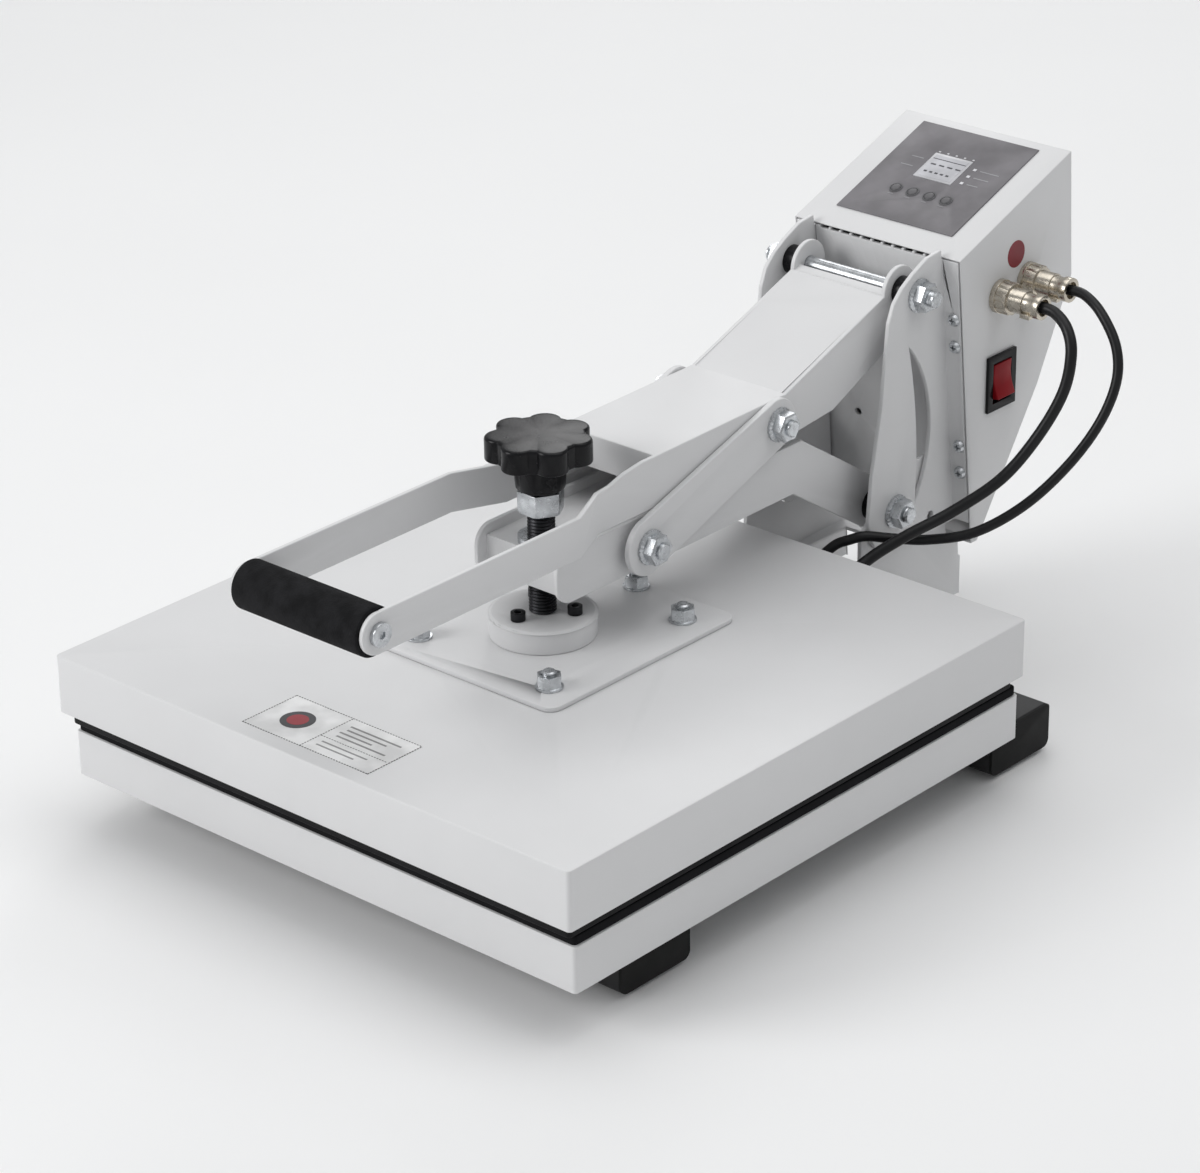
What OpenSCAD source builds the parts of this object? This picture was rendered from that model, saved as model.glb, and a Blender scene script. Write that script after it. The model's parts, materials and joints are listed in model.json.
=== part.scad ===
// Clamshell heat press, closed. Millimetres, +Z up, operator side at -Y.
// Floor at z = 0; the outline is centred on x = 0 and y = 0.

/* [Platens] */
// side of the upper cover
cover_side = 390; // [300:5:500]
// height of the upper cover
cover_h = 35.7; // [25:0.1:60]
// side of the heat plate
plate_side = 380; // [290:5:490]
// thickness of the heat plate
plate_t = 12; // [8:0.5:20]
// side of the lower tray
tray_side = 382; // [290:1:490]
// height of the lower tray
tray_h = 28; // [20:1:40]

/* [Frame] */
// length of each foot bar
foot_len = 358; // [200:2:480]
// depth of each foot bar
foot_w = 56; // [40:1:70]
// height of each foot bar
foot_h = 28; // [20:1:50]
// thickness of the pivot cheeks
cheek_t = 3; // [2:0.5:6]

/* [Linkage] */
// link bar thickness
link_t = 4; // [3:0.5:8]
// pivot bolt radius
bolt_r = 5; // [4:0.5:8]
// running clearance on the pivot bolts
fit = 0.05; // [0.01:0.01:0.1]
// radius of the foam grip
grip_r = 14.3; // [10:0.1:20]

/* [Pressure screw] */
// radius of the knob to the lobe tips
knob_r = 31; // [20:0.5:45]
// radius of the pressure screw
screw_r = 8; // [6:0.5:12]

/* [Control box] */
// outside width of the control box
box_w = 126; // [90:1:180]
// sheet thickness of the box
box_t = 1; // [1:0.1:3]

/* [View] */
// node to draw

/* [Hidden] */
$fn = 48;
ys = 110.5;
pad_h = 3;
zs = 77 + foot_h + pad_h;
foot_y = [-110, 216];
P1 = [278.5, 137.3];
P2 = [260, 4];
P3 = [160, 90];
P4 = [46, 52];
lean = 5.7;
plate_h = 175;
screw_z = [-41, -59, -126, -144];
knob_phase = 21.5;
white = [0.93, 0.93, 0.92];
black = [0.08, 0.08, 0.09];
zinc = [0.75, 0.77, 0.78];
alu = [0.70, 0.71, 0.72];

module M() translate([0, -ys, zs]) children();
module yz(a, b) translate([a, 0, 0]) rotate([90, 0, 90]) linear_extrude(height = b - a) children();
module xc(r, a, b, p) translate([a, p[0], p[1]]) rotate([0, 90, 0]) cylinder(r = r, h = b - a);
module hexx(af, a, b, p) translate([a, p[0], p[1]]) rotate([0, 90, 0])
  cylinder(r = af / sqrt(3), h = b - a, $fn = 6);
module rsq(x, y, r) offset(r) square([x - 2 * r, y - 2 * r], center = true);
module upright() translate([0, 306, 157]) rotate([lean, 0, 0]) children();
module panel() translate([0, 306, 157]) rotate([atan2(38, 105), 0, 0]) children();
function cen(p, q, r) = let (a = q - p, b = r - p, d = 2 * (a[0] * b[1] - a[1] * b[0]))
  p + [b[1] * (a * a) - a[1] * (b * b), a[0] * (b * b) - b[0] * (a * a)] / d;

// ---------- feet, base and lower platen ----------
module foot(y) M() difference() {
  translate([-foot_len / 2 + 2, y - foot_w / 2, -77 - foot_h]) rotate([90, 0, 90])
    linear_extrude(height = foot_len - 4) foot_section();
  translate([-foot_len, y - foot_w / 2 + 3, -77 - foot_h + 3]) cube([2 * foot_len, foot_w - 6, foot_h - 6]);
  for (x = [-30, 30]) translate([x, y, -82]) cylinder(r = 3.3, h = 8);
}
module foot_section() hull() {
  for (u = [5, foot_w - 5]) translate([u, 5]) circle(r = 5, $fn = 32);
  for (u = [3, foot_w - 3]) translate([u, foot_h - 3]) circle(r = 3, $fn = 32);
}
module foot_front() color(black) foot(foot_y[0]);
module foot_rear() color(black) foot(foot_y[1]);
module foot_caps() color([0.1, 0.1, 0.1]) M() for (s = [-1, 1], y = foot_y) {
  translate([s > 0 ? foot_len / 2 - 1.9 : -foot_len / 2, y - foot_w / 2, -77 - foot_h]) rotate([90, 0, 90])
    linear_extrude(height = 1.9) foot_section();
  translate([s > 0 ? foot_len / 2 - 14 : -foot_len / 2 + 1.8, y - foot_w / 2 + 3.2, -73.8 - foot_h])
    cube([12.2, foot_w - 6.4, foot_h - 6.4]);
}
module foot_bolts() color(zinc) M() for (x = [-30, 30], y = foot_y) translate([x, y, -73.8]) {
  cylinder(r = 5.8, h = 4, $fn = 6);
  translate([0, 0, -9]) cylinder(r = 3, h = 9.2);
}
module foot_pads() color([0.12, 0.12, 0.12]) M()
  for (x = [-150, 150], y = foot_y) translate([x, y, -77 - foot_h - pad_h])
    cylinder(r = 16, h = pad_h - 0.1);

module side_wall() polygon([[205, -77], [332, -77], [329, -36.5], [317, -36], [312.5, 28], [270, 28],
  [232, -5], [232, -54], [205, -54]]);
module base_beam() color(white) M() difference() {
  union() {
    difference() {
      translate([-46, -150, -76.9]) cube([92, 482, 25.8]);
      translate([-43.2, -152, -80]) cube([86.4, 486, 26.3]);
    }
    yz(-46, -43) side_wall();
    yz(43, 46) side_wall();
    for (y = foot_y) translate([-46, y - 20, -76.9]) cube([92, 40, 3]);
  }
  xc(bolt_r + 0.3, -60, 60, P2);
  for (x = [-30, 30], y = foot_y) translate([x, y, -80]) cylinder(r = 3.3, h = 8);
  translate([-35, 236, -60]) cube([70, 84, 12]);
}
module lower_tray() color(white) M() difference() {
  translate([0, 4, -77]) linear_extrude(height = tray_h) rsq(tray_side, tray_side, 2.5);
  translate([0, 4, -80]) linear_extrude(height = tray_h + 1) rsq(tray_side - 4, tray_side - 4, 1);
  translate([-46.4, 180, -80]) cube([92.8, 40, 29]);
}
module silicone_pad() color([0.1, 0.1, 0.1]) M() translate([0, 4, -48.95])
  linear_extrude(height = 5.5) rsq(plate_side, plate_side, 3);

// ---------- upright ----------
function on_upright(y, z) = [306 + y * cos(lean) - z * sin(lean), 157 + y * sin(lean) + z * cos(lean)];
slot_outer = cen([270, 107], [293, 50], [279, 3]);
slot_inner = cen([270, 107], [279, 52], [279, 3]);
module cheek_profile() difference() {
  offset(6) offset(-6) union() {
    polygon([[303, 160], [286, 158], [273, 152], [263, 146], [255, 138], [250.5, 127], [249, 114],
      [245, 74], [237, 34], [234, 4], [260, -22], [330, -22], [310, 160]]);
    translate(P2) circle(r = 26);
  }
  polygon([on_upright(-6, 60), on_upright(-6, -3.2), on_upright(-2.8, -3.2), on_upright(-2.8, -220),
    on_upright(90, -220), on_upright(90, 60)]);
  translate([200, -60]) square([200, 38]);
  translate(P1) circle(r = bolt_r + 0.02);
  translate(P2) circle(r = bolt_r + 0.02);
  translate([295, -11]) circle(r = 3);
  intersection() {
    translate(slot_outer) circle(r = norm(slot_outer - [270, 107]), $fn = 96);
    difference() {
      translate([262, 0]) square([40, 112]);
      translate(slot_inner) circle(r = norm(slot_inner - [270, 107]), $fn = 96);
    }
  }
}
module cheek(s) color(white) M() {
  yz(s > 0 ? 50 - cheek_t : -50, s > 0 ? 50 : -50 + cheek_t) cheek_profile();
  upright() difference() {
    translate([s > 0 ? 47 : -61.4, -5.6, -178]) cube([14.4, 3, plate_h]);
    for (z = screw_z) translate([s * 57, -9, z]) rotate([-90, 0, 0]) cylinder(r = 2.1, h = 9);
  }
}
module cheek_left() cheek(-1);
module cheek_right() cheek(1);
module front_plate() color(white) M() upright() difference() {
  translate([-46.7, -5.6, -178]) cube([93.4, 2.8, plate_h]);
  for (p = [[0, -76], [-21, -124]]) translate([p[0], -8, p[1]]) rotate([-90, 0, 0])
    cylinder(r = 2.4, h = 9);
  for (i = [-5:5]) translate([i * 8 - 3, -8, -4.6]) cube([6, 9, 4]);
}
module plate_screws() color(zinc) M() upright()
  for (s = [-1, 1], z = screw_z) translate([s * 57, -5.7, z]) rotate([90, 0, 0]) difference() {
    union() { translate([0, 0, -7]) cylinder(r = 2, h = 8); cylinder(r1 = 4.2, r2 = 3, h = 2.4); }
    translate([0, 0, 1.4]) for (a = [0, 90]) rotate(a) cube([4, 0.9, 3], center = true);
  }

// ---------- control box ----------
module box_profile()
  polygon([[300.9, 155.1], [411, 195], [416, 114], [384, 52], [326, -34.5], [319.5, -34.5]]);
module control_box() color(white) M() difference() {
  union() {
    difference() {
      yz(-box_w / 2, box_w / 2) box_profile();
      yz(-box_w / 2 + box_t, box_w / 2 - box_t) offset(delta = -box_t)
        polygon([[285, 149.3], [411, 195], [416, 114], [384, 52], [326, -34.5], [300, -34.5]]);
    }
    upright() for (s = [-1, 1]) translate([s > 0 ? 48 : -62.2, -2.5, -178]) cube([14.2, 1.6, 177.2]);
  }
  upright() for (s = [-1, 1], z = screw_z)
    translate([s * 57, -9, z]) rotate([-90, 0, 0]) cylinder(r = 2.1, h = 12);
  // panel cut-outs
  panel() translate([-18, 53, -5]) cube([32, 28, 10]);
  panel() for (i = [0:3]) translate([-18.6 + 12.7 * i, 40.3, -5]) cylinder(r = 3.5, h = 10);
  // side cut-outs
  translate([box_w / 2 - 3, 332, 50.5]) cube([6, 24, 32]);
  for (p = [[341, 122], [369, 125]]) xc(8.15, 55, 70, p);
  // rear cut-outs on the slanted face
  rear() translate([-14, -10.2, -6]) cube([28, 20.4, 12]);
  rear() translate([34, 0, -6]) cylinder(r = 6.2, h = 12);
  for (i = [-5:5]) rear() translate([-56, i * 3.6 - 0.9, -6]) cube([24, 1.8, 12]);
}
module rear() translate([0, 400, 83]) rotate([-117.3, 0, 0]) children();
module panel_overlay() color([0.45, 0.45, 0.46]) M() panel() difference() {
  translate([-44, 12.5, 0.1]) cube([88, 92, 0.7]);
  translate([-16.5, 54.5, -1]) cube([29, 25, 4]);
  for (i = [0:3]) translate([-18.6 + 12.7 * i, 40.3, -1]) cylinder(r = 3.5, h = 4);
}
module display_window() color([0.78, 0.79, 0.8]) M() panel() {
  translate([-16.3, 54.7, 0.1]) cube([28.6, 24.6, 0.8]);
  translate([-15, 56, -12.1]) cube([26, 22, 12.4]);
}
module circuit_board() color([0.1, 0.35, 0.2]) M() panel() difference() {
  union() {
    translate([-46, 14, -13.8]) cube([92, 84, 1.6]);
    for (x = [-30, 22]) translate([x, 20, -19]) cube([14, 12, 5.4]);
    for (x = [-42, 42], y = [18, 94]) translate([x, y, -12.4]) cylinder(r = 3, h = 10.8);
  }
  for (x = [-42, 42], y = [18, 94]) translate([x, y, -20]) cylinder(r = 1.2, h = 17);
}
module relay_module() color([0.2, 0.2, 0.22]) M() upright() {
  translate([-30, 0.1, -110]) cube([44, 8, 60]);
  translate([-26, 7.9, -105]) cube([36, 16, 50]);
  for (z = [-104, -62]) translate([-20, 23.6, z]) cube([24, 4, 6]);
}
module switch_bezel() color(black) M() difference() {
  union() {
    translate([box_w / 2 + 0.1, 330, 48.5]) cube([2, 28, 36]);
    translate([box_w / 2 - 20, 332.2, 50.7]) cube([20.2, 23.6, 31.6]);
  }
  translate([box_w / 2 - 18, 335, 53.5]) cube([30, 18, 26]);
  translate([58, 354.5, 66.5]) rotate([90, 0, 0]) cylinder(r = 1.55, h = 21);
}
module rocker() color([0.75, 0.06, 0.08]) M() translate([58, 352.7, 66.5]) rotate([90, 0, 0]) {
  linear_extrude(height = 17.4) rotate(9)
    polygon([[-3, -10], [9.4, -11], [7.9, -4], [7.6, 0], [7.9, 4], [9.4, 11], [-3, 10]]);
  translate([0, 0, -1.2]) cylinder(r = 1.5, h = 19.8);
}
module mains_inlet() color(black) M() rear() difference() {
  union() {
    translate([-25, -12, 0.1]) cube([50, 24, 2.6]);
    for (x = [-20, 20]) translate([x, 0, 2.6]) cylinder(r = 2.8, h = 1);
    translate([-13.8, -10, -20]) cube([27.6, 20, 20.3]);
  }
  translate([-11.5, -7.5, -14]) cube([23, 15, 30]);
}
module fuse_holder() color(black) M() rear() translate([34, 0, 0]) {
  translate([0, 0, 0.1]) cylinder(r = 8, h = 2);
  translate([0, 0, -22]) cylinder(r = 6, h = 22.3);
  difference() {
    translate([0, 0, 2]) cylinder(r = 5.5, h = 6);
    translate([-5, -0.7, 7]) cube([10, 1.4, 3]);
  }
}
module socket(p) M() {
  difference() {
    union() { xc(10.5, 63.1, 66.5, p); xc(8, 52, 63.3, p); hexx(19, 57.5, 61.3, p); }
    xc(5, 51, 54, p);
  }
  xc(9.6, 66.4, 74, p);
  for (a = [0:30:330]) translate([70.2, p[0], p[1]]) rotate([a, 0, 0])
    translate([-3.4, -0.8, 9]) cube([6.8, 1.6, 1.1]);
  xc(7.6, 73.9, 84, p);
  xc(6.6, 83.9, 91, p);
  translate([83, p[0] - 6.5, p[1] - 7.6]) cube([7, 13, 3]);
  difference() { xc(7.6, 90.9, 96, p); xc(5.2, 92, 97, p); }
}
module power_socket() color(zinc) socket([341, 122]);
module sensor_socket() color(zinc) socket([369, 125]);
module button(i) color([0.3, 0.3, 0.31]) M() panel() translate([-18.6 + 12.7 * i, 40.3, 0]) {
  translate([0, 0, -4]) cylinder(r = 3.1, h = 5.2);
  translate([0, 0, -8]) cylinder(r = 2.2, h = 4.1);
  translate([0, 0, 1.1]) cylinder(r1 = 3, r2 = 2.5, h = 0.6);
}
module button_1() button(0);
module button_2() button(1);
module button_3() button(2);
module button_4() button(3);

// ---------- leads, swept along a smoothed line ----------
power_pts = [[93, 341, 122], [104, 341, 121], [117, 336, 115], [124, 331, 102], [124, 324, 80],
  [115, 312, 53], [102, 295, 28], [86, 270, 11], [73, 246, 1], [64, 230, -7], [59, 219, -13],
  [57, 210, -17], [57, 203, -18], [57, 196, -18], [57, 188, -18]];
sensor_pts = [[93, 369, 125], [106, 368, 125], [123, 362, 119], [138, 357, 103], [144, 350, 84],
  [141, 338, 60], [131, 320, 35], [115, 300, 12], [96, 278, -3], [76, 259, -7], [61, 243, -5],
  [51, 230, -2], [44, 223, -4], [38, 218, -7], [33, 212, -13], [30, 206, -17], [30, 202, -18],
  [30, 196, -18], [30, 188, -18]];
function cr(p, i, t) = let (a = p[max(i - 1, 0)], b = p[i], c = p[i + 1], d = p[min(i + 2, len(p) - 1)])
  0.5 * (2 * b + (c - a) * t + (2 * a - 5 * b + 4 * c - d) * t * t + (3 * b - a - 3 * c + d) * t * t * t);
function path(p, n) = [for (i = [0:len(p) - 2]) for (j = [0:n - 1]) cr(p, i, j / n), p[len(p) - 1]];
function unit(v) = v / norm(v);
function tang(q, i) = unit(q[min(i + 1, len(q) - 1)] - q[max(i - 1, 0)]);
module tube(q, r, n = 10) {
  up = [0.3, 0.2, 1];
  pts = [for (i = [0:len(q) - 1]) let (t = tang(q, i), a = unit(cross(t, up)), b = cross(t, a))
    for (k = [0:n - 1]) q[i] + r * (cos(360 * k / n) * a + sin(360 * k / n) * b)];
  m = len(q);
  fs = concat([[for (k = [0:n - 1]) k]], [[for (k = [n - 1:-1:0]) (m - 1) * n + k]],
    [for (i = [0:m - 2]) for (k = [0:n - 1])
      [i * n + k, (i + 1) * n + k, (i + 1) * n + (k + 1) % n, i * n + (k + 1) % n]]);
  polyhedron(points = pts, faces = fs, convexity = 8);
}
module power_lead() color(black) M() tube(path(power_pts, 3), 3.6);
module sensor_lead() color(black) M() tube(path(sensor_pts, 3), 3.2);

// ---------- pivots on the upright ----------
module flange_nut(a, s, p) {
  hexx(16, s > 0 ? a : a - 9, s > 0 ? a + 9 : a, p);
  xc(10.5, s > 0 ? a : a - 1.6, s > 0 ? a + 1.6 : a, p);
}
module pivot_bolt_upper() color(zinc) M() {
  xc(bolt_r, -64, 64, P1);
  flange_nut(50.1, 1, P1);
  flange_nut(-50.1, -1, P1);
}
module pivot_bolt_lower() color(zinc) M() {
  xc(bolt_r, -60, 62, P2);
  flange_nut(50.1, 1, P2);
  flange_nut(-50.1, -1, P2);
}
module ring(r, a, b, p, c = 0.02) difference() { xc(r, a, b, p); xc(bolt_r + c, a - 1, b + 1, p); }
module pivot_spacers() color(zinc) M() for (s = [-1, 1]) {
  ring(9, s > 0 ? 36.4 : -46.9, s > 0 ? 46.9 : -36.4, P1);
  ring(10, s > 0 ? 32 : -42.9, s > 0 ? 42.9 : -32, P2);
}

// ---------- main arm ----------
module arm_outline() union() {
  hull() {
    translate([-10, 55]) circle(r = 12, $fn = 32);
    translate([-10, 47]) circle(r = 12, $fn = 32);
    translate([60, 35]) square([1, 32]);
  }
  polygon([[60, 35], [185, 35], [251.5, -8.9], [268.5, 16.9], [192.6, 67], [60, 67]]);
  translate(P2) circle(r = 15.4);
}
module arm_void() difference() {
  polygon([[-30, -40], [-30, 80], [192, 80], [300, 20], [300, -40]]);
  polygon([[-14.6, 38], [-14.6, 60.6], [190.8, 60.6], [244, 25.5], [242.3, 22.9], [190, 58],
    [-12, 58], [-12, 38]]);
}
module main_arm() color(white) M() difference() {
  yz(-31.6, 31.6) arm_outline();
  yz(-28.6, 28.6) arm_void();
  xc(bolt_r + fit, -40, 40, P2);
  xc(bolt_r + 0.02, -40, 40, P4);
  translate([0, 0, 50]) cylinder(r = 11, h = 40);
}
module screw_bush() color(zinc) M() difference() {
  union() {
    translate([0, 0, 42]) cylinder(r = 10.98, h = 20);
    translate([0, 0, 60.7]) cylinder(r = 13.5, h = 3.4);
  }
  translate([0, 0, 40]) cylinder(r = screw_r + fit, h = 40);
}
module arm_sleeve() color(zinc) M() ring(8.5, -28.5, 28.5, P2, 0.05);
module front_bolts() color(zinc) M() {
  xc(bolt_r, -52, 52, P4);
  flange_nut(40.8, 1, P4);
  flange_nut(-40.8, -1, P4);
  for (s = [-1, 1]) ring(9.5, s > 0 ? 31.7 : -36.2, s > 0 ? 36.2 : -31.7, P4);
}

// ---------- link bars ----------
module link_outline() difference() {
  hull() { translate(P4) circle(r = 17.5); translate(P3) circle(r = 15.5); }
  translate(P4) circle(r = bolt_r + fit);
  translate(P3) circle(r = bolt_r + 0.02);
}
module link_left() color(white) M() yz(-36.5 - link_t, -36.5) link_outline();
module link_right() color(white) M() yz(36.5, 36.5 + link_t) link_outline();
module mid_bolts() color(zinc) M() for (s = [-1, 1]) {
  xc(bolt_r, s > 0 ? 36.5 : -52, s > 0 ? 52 : -36.5, P3);
  flange_nut(s > 0 ? 40.6 : -40.6, s, P3);
}

// ---------- hand lever ----------
module lever_side() difference() {
  union() {
    offset(3) offset(-3) polygon([[-180, 71.5], [-180, 95.5], [2, 95.5], [18, 97], [30, 100.5],
      [46, 102.5], [172, 104], [266, 138.2], [281, 138], [286, 125], [270, 104], [216, 80],
      [183, 77], [150, 73.5], [100, 71.5]]);
    translate([-180, 83.5]) circle(r = 12);
    translate(P1) circle(r = 15);
  }
  translate(P1) circle(r = bolt_r + fit);
  translate([-180, 83.5]) circle(r = 4.1);
}
module lever_plan(s) mirror([s > 0 ? 0 : 1, 0]) polygon([[33, 300], [33, 7.3], [47, -22.7],
  [47, -200], [50, -200], [50, -22], [36, 8], [36, 300]]);
module lever() color(white) M() {
  for (s = [-1, 1]) intersection() {
    yz(s > 0 ? 30 : -52, s > 0 ? 52 : -30) lever_side();
    translate([0, 0, 50]) linear_extrude(height = 120) lever_plan(s);
  }
  yz(-34, 34) intersection() {
    lever_side();
    polygon([[57, 82], [57, 103.5], [172, 104], [266, 138.2], [270, 139.66], [268.9, 136.6],
      [171.5, 101], [60, 99.6], [60, 82]]);
  }
}
module lever_crossbar() color(zinc) M() xc(6, -32.98, 32.98, P3);
module grip_core() color(zinc) M() difference() {
  xc(9, -46.9, 46.9, [-180, 83.5]);
  for (s = [-1, 1]) xc(4, s > 0 ? 27 : -48, s > 0 ? 48 : -27, [-180, 83.5]);
}
module grip_foam() color(black) M() difference() {
  xc(grip_r, -46.8, 46.8, [-180, 83.5]);
  xc(9.02, -60, 60, [-180, 83.5]);
}
module grip_screws() color(zinc) M() for (s = [-1, 1]) difference() {
  union() {
    xc(3.98, s > 0 ? 28 : -50.2, s > 0 ? 50.2 : -28, [-180, 83.5]);
    xc(6.8, s > 0 ? 50.1 : -53, s > 0 ? 53 : -50.1, [-180, 83.5]);
  }
  hexx(4, s > 0 ? 51 : -54, s > 0 ? 54 : -51, [-180, 83.5]);
}

// ---------- heated head ----------
stud_xy = [[-50, -50], [50, -50], [-50, 63], [50, 63], [0, 80]];
module mount_plate() color(white) M() difference() {
  translate([0, 9, 0.05]) linear_extrude(height = 3) rsq(140, 158, 8);
  for (p = stud_xy) translate([p[0], p[1], -1]) cylinder(r = 4.3, h = 6);
}
module thrust_boss() color(white) M() difference() {
  union() {
    translate([0, 0, 3.1]) cylinder(r = 31, h = 12.9);
    translate([0, 0, 15.9]) cylinder(r1 = 31, r2 = 29.5, h = 1.2);
  }
  translate([0, 0, 3]) cylinder(r = 10.05, h = 6);
  translate([0, 0, 3]) cylinder(r = 6.05, h = 20);
  for (a = [-95, 25, 145]) rotate(a) translate([19, 0, 5]) cylinder(r = 2.5, h = 20);
}
module keeper_screws() color(black) M()
  for (a = [-95, 25, 145]) rotate(a) translate([19, 0, 0]) difference() {
  union() {
    translate([0, 0, 6]) cylinder(r = 2.48, h = 12);
    translate([0, 0, 17.2]) cylinder(r = 4.3, h = 5);
  }
  translate([0, 0, 19.4]) cylinder(r = 2.3, h = 4, $fn = 6);
}
module head_cover() color(white) M() difference() {
  translate([0, 0, -cover_h]) linear_extrude(height = cover_h) rsq(cover_side, cover_side, 2.8);
  translate([0, 0, -cover_h - 1]) linear_extrude(height = cover_h - 0.5)
    rsq(cover_side - 3, cover_side - 3, 1.3);
  for (p = stud_xy) translate([p[0], p[1], -4]) cylinder(r = 4.3, h = 6);
  translate([57, 190, -18]) rotate([-90, 0, 0]) cylinder(r = 6, h = 10);
  translate([30, 190, -18]) rotate([-90, 0, 0]) cylinder(r = 5.5, h = 10);
}
module mount_studs() color(zinc) M()
  for (p = stud_xy) translate([p[0], p[1], -35.8]) cylinder(r = 4, h = 49.5);
module mount_nuts() color(zinc) M() for (p = stud_xy) translate([p[0], p[1], 3.1]) difference() {
  union() {
    cylinder(r = 8, h = 1.4);
    translate([0, 0, 1.4]) rotate(15) cylinder(r = 13 / sqrt(3), h = 6.8, $fn = 6);
  }
  translate([0, 0, -1]) cylinder(r = 4.02, h = 12);
}
module insulation() color([0.85, 0.8, 0.6]) M() difference() {
  translate([0, 0, -23]) linear_extrude(height = 20) rsq(360, 360, 4);
  for (p = stud_xy) translate([p[0], p[1], -25]) cylinder(r = 5, h = 25);
  translate([20, 150, -24]) cube([50, 40, 22]);
}
module heating_element() color([0.35, 0.33, 0.32]) M() translate([0, 0, -27.6]) {
  for (x = [-150, -90, -30, 30, 90, 150]) translate([x, -130, 0]) rotate([-90, 0, 0])
    cylinder(r = 3.2, h = 260, $fn = 20);
  for (x = [-120, 0, 120]) translate([x, 130, 0]) element_bend();
  for (x = [-60, 60]) translate([x, -130, 0]) rotate(180) element_bend();
}
module element_bend() rotate_extrude(angle = 180, $fn = 40) translate([30, 0]) circle(r = 3.2, $fn = 20);
module heat_plate() color([0.13, 0.13, 0.14]) M() difference() {
  translate([0, 0, -43]) linear_extrude(height = plate_t) rsq(plate_side, plate_side, 3);
  for (p = stud_xy) translate([p[0], p[1], -36]) cylinder(r = 4.02, h = 10);
  translate([0, 150, -36]) cylinder(r = 3.02, h = 10);
}
module thermocouple() color(zinc) M() {
  translate([0, 150, -35.9]) cylinder(r = 3, h = 9);
  translate([0, 150, -27]) cylinder(r = 5, h = 3, $fn = 6);
}
module gland(x, r) translate([x, 195.1, -18]) rotate([-90, 0, 0]) difference() {
  union() {
    cylinder(r = r + 5, h = 3, $fn = 6);
    translate([0, 0, 3]) cylinder(r1 = r + 4, r2 = r + 2.4, h = 6);
    translate([0, 0, -5]) cylinder(r = r + 1.9, h = 5.2);
  }
  translate([0, 0, -6]) cylinder(r = r + 0.5, h = 20);
}
module lead_glands() color(black) M() { gland(57, 3.6); gland(30, 3.2); }

// ---------- pressure screw ----------
module pressure_screw() color(black) M() {
  translate([0, 0, 4]) cylinder(r = 10, h = 4.6);
  translate([0, 0, 8.5]) cylinder(r = 6, h = 9);
  translate([0, 0, 17.4]) cylinder(r = screw_r, h = 93);
}
module lock_nut() color(zinc) M() difference() {
  translate([0, 0, 79]) intersection() {
    cylinder(r = 24 / sqrt(3), h = 13, $fn = 6);
    cylinder(r1 = 13, r2 = 16, h = 13);
  }
  translate([0, 0, 78]) cylinder(r = screw_r + 0.02, h = 16);
}
module knob() color(black) M() difference() {
  union() {
    translate([0, 0, 93]) cylinder(r1 = 14, r2 = 16, h = 20.5);
    translate([0, 0, 111]) linear_extrude(height = 15) lobes();
  }
  translate([0, 0, 92]) cylinder(r = screw_r + 0.02, h = 18.5);
  for (i = [0:6]) rotate((i + 0.5) * 360 / 7 + knob_phase) translate([18.6, 0, 92])
    cylinder(r = 4.4, h = 19);
}
module lobes() difference() {
  union() {
    circle(r = knob_r - 5);
    for (i = [0:6]) rotate(i * 360 / 7 + knob_phase) translate([knob_r - 9.5, 0]) circle(r = 9.5, $fn = 40);
  }
  for (i = [0:6]) rotate((i + 0.5) * 360 / 7 + knob_phase) translate([knob_r + 2, 0])
    circle(r = 6.2, $fn = 40);
}

foot_front();
foot_rear();
foot_pads();
foot_caps();
foot_bolts();
base_beam();
lower_tray();
silicone_pad();
cheek_left();
cheek_right();
front_plate();
plate_screws();
control_box();
panel_overlay();
display_window();
circuit_board();
relay_module();
switch_bezel();
mains_inlet();
fuse_holder();
power_socket();
sensor_socket();
power_lead();
sensor_lead();
pivot_bolt_upper();
pivot_bolt_lower();
pivot_spacers();
rocker();
button_1();
button_2();
button_3();
button_4();
main_arm();
screw_bush();
arm_sleeve();
front_bolts();
link_left();
link_right();
mid_bolts();
lever();
lever_crossbar();
grip_core();
grip_foam();
grip_screws();
mount_plate();
thrust_boss();
keeper_screws();
head_cover();
mount_nuts();
mount_studs();
insulation();
heating_element();
heat_plate();
thermocouple();
lead_glands();
pressure_screw();
lock_nut();
knob();
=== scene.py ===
"""Closed clamshell heat press: camera, materials, leads, rounded sheet metal, threads, prints, studio."""
import json
import math

import bmesh
import bpy
from mathutils import Matrix, Vector


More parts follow.
